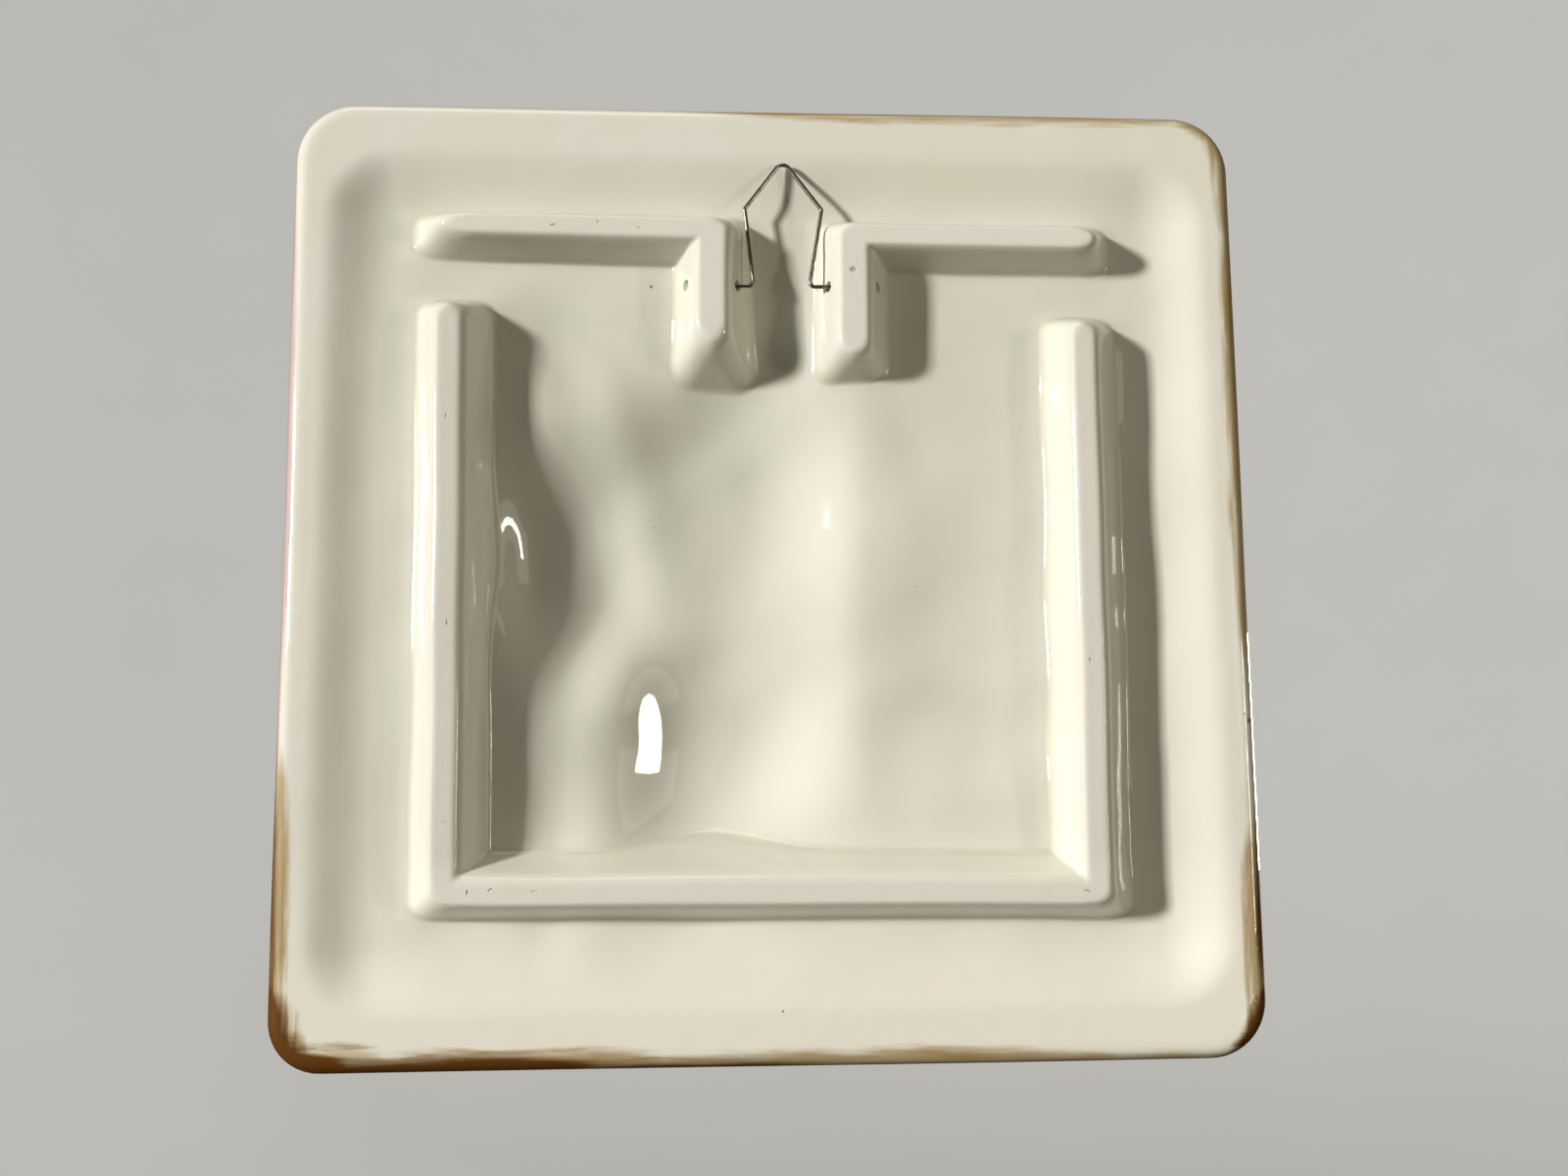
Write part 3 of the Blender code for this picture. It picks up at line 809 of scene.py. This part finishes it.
# %% Gloss and relief of the glaze
fine_grain = glaze.grain(place, 2.4, detail=5.0, roughness=0.65)
ripple = glaze.grain(place, 0.16, detail=1.5)
roughness = 0.55 + 0.10 * fine_grain
coat = 1.0 - 0.86 * wiped * (0.7 + 0.3 * rough_edge)
height = fine_grain * wiped * 0.10 - scratches * 0.30
cells = glaze.node("TexVoronoi", {"feature": "F1"}, {"Vector": place, "Scale": 0.36})
bubbles = (1.0 - cells.eased(0.08, 0.28)) * glaze.kept("blister")
dents = glaze.bump(height + bubbles * 0.45, 0.6, 1.0)
dents = glaze.bump(ripple, 0.08, 1.0, dents)
plaque.data.materials.clear()
plaque.data.materials.append(glaze.surface({
    "Base Color": colour, "Roughness": roughness, "Coat Weight": coat, "Coat Roughness": 0.035,
    "Coat IOR": 1.5, "Specular IOR Level": 0.12, "Normal": dents}))
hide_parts("glazed_plaque")
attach(plaque, "plaque")

# %% [markdown]
# ## The wire hanger
#
# The loop is one length of thin steel wire: a short pin in the left leg, a bend up, a shoulder, the
# rounded top that the nail carries, and the same again down to the right leg. It is drawn as a row
# of corners in its own plane, each corner is rounded with an arc, and a round section is swept
# along it. It leans in until its top just clears the band, as in the solids.

# %% Path of the wire
WIRE = 0.45
HANGER_U, LOOP, SHOULDER_V, SHOULDER = 2.7, 27.6, 17.4, 8.3
MOUTH_LEFT, MOUTH_RIGHT = 10.122, 9.122
STANDOFF, PIN_DEPTH = 3.7, 4.0
TOP_BEND, SHOULDER_BEND, PIN_BEND = 1.6, 0.6, 1.1
BEND_STEPS = 14
LEAN = math.asin((HINGE_W - WIRE - 0.3) / LOOP)


def top_corner():
    """Where the loop's two upper runs would meet above its rounded top."""
    reach_v = LOOP - TOP_BEND - SHOULDER_V
    length = math.hypot(SHOULDER, reach_v)
    half_angle = math.atan2(SHOULDER, reach_v) - math.asin(TOP_BEND / length)
    return SHOULDER_V + SHOULDER / math.tan(half_angle)


def rounded(corners, radii):
    """Points along straight runs whose inner corners are arcs of the given radii."""
    points = [corners[0]]
    for before, corner, after, radius in zip(corners, corners[1:], corners[2:], radii):
        back, ahead = (before - corner).normalized(), (after - corner).normalized()
        half_angle = back.angle(ahead) / 2
        centre = corner + (back + ahead).normalized() * radius / math.sin(half_angle)
        run = radius / math.tan(half_angle)
        first, last = corner + back * run - centre, corner + ahead * run - centre
        for step in range(BEND_STEPS + 1):
            points.append(centre + first.slerp(last, step / BEND_STEPS).normalized() * radius)
    points.append(corners[-1])
    return points


wire_corners = [
    Vector((-MOUTH_LEFT - PIN_DEPTH, 0, 0)), Vector((-MOUTH_LEFT + STANDOFF, 0, 0)),
    Vector((-SHOULDER, SHOULDER_V, 0)), Vector((0, top_corner(), 0)),
    Vector((SHOULDER, SHOULDER_V, 0)), Vector((MOUTH_RIGHT - STANDOFF, 0, 0)),
    Vector((MOUTH_RIGHT + PIN_DEPTH, 0, 0)),
]
wire_points = rounded(wire_corners, (PIN_BEND, SHOULDER_BEND, TOP_BEND, SHOULDER_BEND, PIN_BEND))
print(f"{len(wire_points)} points along the wire")

# %% Sweep the wire
curve = bpy.data.curves.new("wire_path", "CURVE")
curve.dimensions = "3D"
curve.bevel_depth = WIRE * MM
curve.bevel_resolution = 5
curve.use_fill_caps = True
spline = curve.splines.new("POLY")
spline.points.add(len(wire_points) - 1)
for knot, point in zip(spline.points, wire_points):
    u = HANGER_U + point.x
    v = HINGE_V + point.y * math.cos(LEAN)
    w = HINGE_W - point.y * math.sin(LEAN)
    knot.co = (*to_world(np.array(u), v, w), 1.0)
wire_sweep = bpy.data.objects.new("wire_sweep", curve)
bpy.context.scene.collection.objects.link(wire_sweep)
wire_mesh = bpy.data.meshes.new_from_object(
    wire_sweep.evaluated_get(bpy.context.evaluated_depsgraph_get()))
bpy.data.objects.remove(wire_sweep, do_unlink=True)
shape = bmesh.new()
shape.from_mesh(wire_mesh)
bmesh.ops.remove_doubles(shape, verts=shape.verts, dist=0.00001)
bmesh.ops.recalc_face_normals(shape, faces=shape.faces)
for face in shape.faces:
    face.smooth = len(face.verts) == 4
shape.to_mesh(wire_mesh)
shape.free()
hanger = bpy.data.objects.new("hanger_fine", wire_mesh)
bpy.context.scene.collection.objects.link(hanger)
print(f"wire: {len(wire_mesh.polygons)} faces")

# %% Steel of the wire
steel = Finish("wire_steel_fine")
steel_place = drawn_place(steel)
tarnish = steel.grain(steel_place, 0.55, detail=4.0).eased(0.38, 0.66)
drawn = steel.grain(steel_place, 5.0, detail=3.0)
steel_colour = steel.mixed(tarnish, (0.40, 0.37, 0.33, 1.0), (0.20, 0.165, 0.125, 1.0))
hanger.data.materials.clear()
hanger.data.materials.append(steel.surface({
    "Base Color": steel_colour, "Metallic": 1.0, "Roughness": 0.22 + 0.16 * tarnish + 0.08 * drawn,
    "Normal": steel.bump(drawn, 0.25, 0.05)}))
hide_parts("wire_hanger")
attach(hanger, "hanger")

# %% [markdown]
# ## Camera, backdrop and light
#
# The camera looks at the back of the hung trivet, from a little below its middle. The floor is a
# plain pale bowl that turns up into a backdrop, far enough away to block no view. It glows a
# little, so that it looks evenly lit from all sides. The light is a soft window on the left, which
# rakes across the field and draws its hollows, a weak one on the right, a small fill near the right
# edge, a faint sky above, and one lamp for the plain face.

# %% Camera
camera_data = bpy.data.cameras.new("camera")
camera_data.lens = 38.25
camera_data.sensor_width = 36.0
camera_data.clip_start = 0.01
camera = bpy.data.objects.new("camera", camera_data)
bpy.context.scene.collection.objects.link(camera)
away = Vector((0.0611, 0.9882, -0.1403)).normalized()
right = Vector((-0.9981, 0.0605, -0.0087))
right = (right - away * right.dot(away)).normalized()
up = away.cross(right)
for column, axis in enumerate((right, up, away)):
    for row in range(3):
        camera.matrix_world[row][column] = axis[row]
camera.matrix_world.translation = (0.02174, 0.34356, -0.14078)
bpy.context.scene.camera = camera

# %% Backdrop
BOWL_RADIUS, BOWL_FLOOR, BOWL_BEND, BOWL_TOP = 3.2, -0.80, 1.0, 9.0


def bowl_profile():
    """From the middle of the floor out, round the bend and up the wall."""
    points = [(0.001, BOWL_FLOOR), (BOWL_RADIUS - BOWL_BEND, BOWL_FLOOR)]
    for step in range(1, 17):
        turn = math.pi / 2 * step / 16
        points.append((BOWL_RADIUS - BOWL_BEND + BOWL_BEND * math.sin(turn),
                       BOWL_FLOOR + BOWL_BEND * (1 - math.cos(turn))))
    return points + [(BOWL_RADIUS, BOWL_TOP)]


profile, sides = bowl_profile(), 96
bowl_points = [(r * math.cos(2 * math.pi * s / sides), r * math.sin(2 * math.pi * s / sides), z)
               for s in range(sides) for r, z in profile]
length = len(profile)
bowl_faces = [(s * length + k, (s + 1) % sides * length + k,
               (s + 1) % sides * length + k + 1, s * length + k + 1)
              for s in range(sides) for k in range(length - 1)]
bowl = mesh_object("backdrop", bowl_points, bowl_faces)
bowl.data.shade_smooth()
paper = Finish("backdrop_paper")
paper_place = paper.node("TexCoord", {}, {}, output=3)
paper_grain = paper.grain(paper_place, 6.0, detail=3.0)
paper_colour = paper.mixed(paper_grain, (0.39, 0.387, 0.374, 1.0), (0.42, 0.417, 0.404, 1.0))
bowl.data.materials.append(paper.surface({
    "Base Color": paper_colour, "Roughness": 0.9, "Specular IOR Level": 0.1,
    "Emission Color": (0.27, 0.27, 0.262, 1.0), "Emission Strength": 1.0}))
bowl.visible_diffuse = False
bowl.visible_glossy = False
bowl.visible_shadow = False

# %% Lights
middle_point = Vector((CENTRE_X, 0.0, CENTRE_Z))


def soft_light(name, offset, size, power, colour, tall=None):
    data = bpy.data.lights.new(name, "AREA")
    data.shape = "RECTANGLE"
    data.size = size
    data.size_y = tall or size
    data.energy = power
    data.color = colour
    lamp = bpy.data.objects.new(name, data)
    bpy.context.scene.collection.objects.link(lamp)
    lamp.location = middle_point + Vector(offset)
    lamp.rotation_mode = "QUATERNION"
    lamp.rotation_quaternion = (-Vector(offset)).to_track_quat("-Z", "Y")
    lamp.visible_camera = False
    return lamp


soft_light("window_left", (4.975, 3.180, 1.060), 0.56, 452.0, (1.0, 0.995, 0.975), tall=0.80)
soft_light("window_right", (-1.757, 1.324, 0.00), 0.18, 6.2, (1.0, 0.93, 0.76), tall=0.42)
soft_light("near_fill", (-0.27, 0.25, 0.04), 0.16, 0.10, (1.0, 0.95, 0.84))
soft_light("sky_light", (0.30, 0.50, 2.40), 1.20, 10.0, (1.0, 0.98, 0.94))
soft_light("face_light", (-1.05, -1.75, 0.04), 0.90, 44.0, (1.0, 0.98, 0.95), tall=0.32)
world = bpy.data.worlds.new("soft_room")
world.use_nodes = True
world.node_tree.nodes["Background"].inputs["Color"].default_value = (1.0, 0.83, 0.50, 1.0)
world.node_tree.nodes["Background"].inputs["Strength"].default_value = 0.034
bpy.context.scene.world = world
bpy.context.scene.view_settings.view_transform = "Standard"
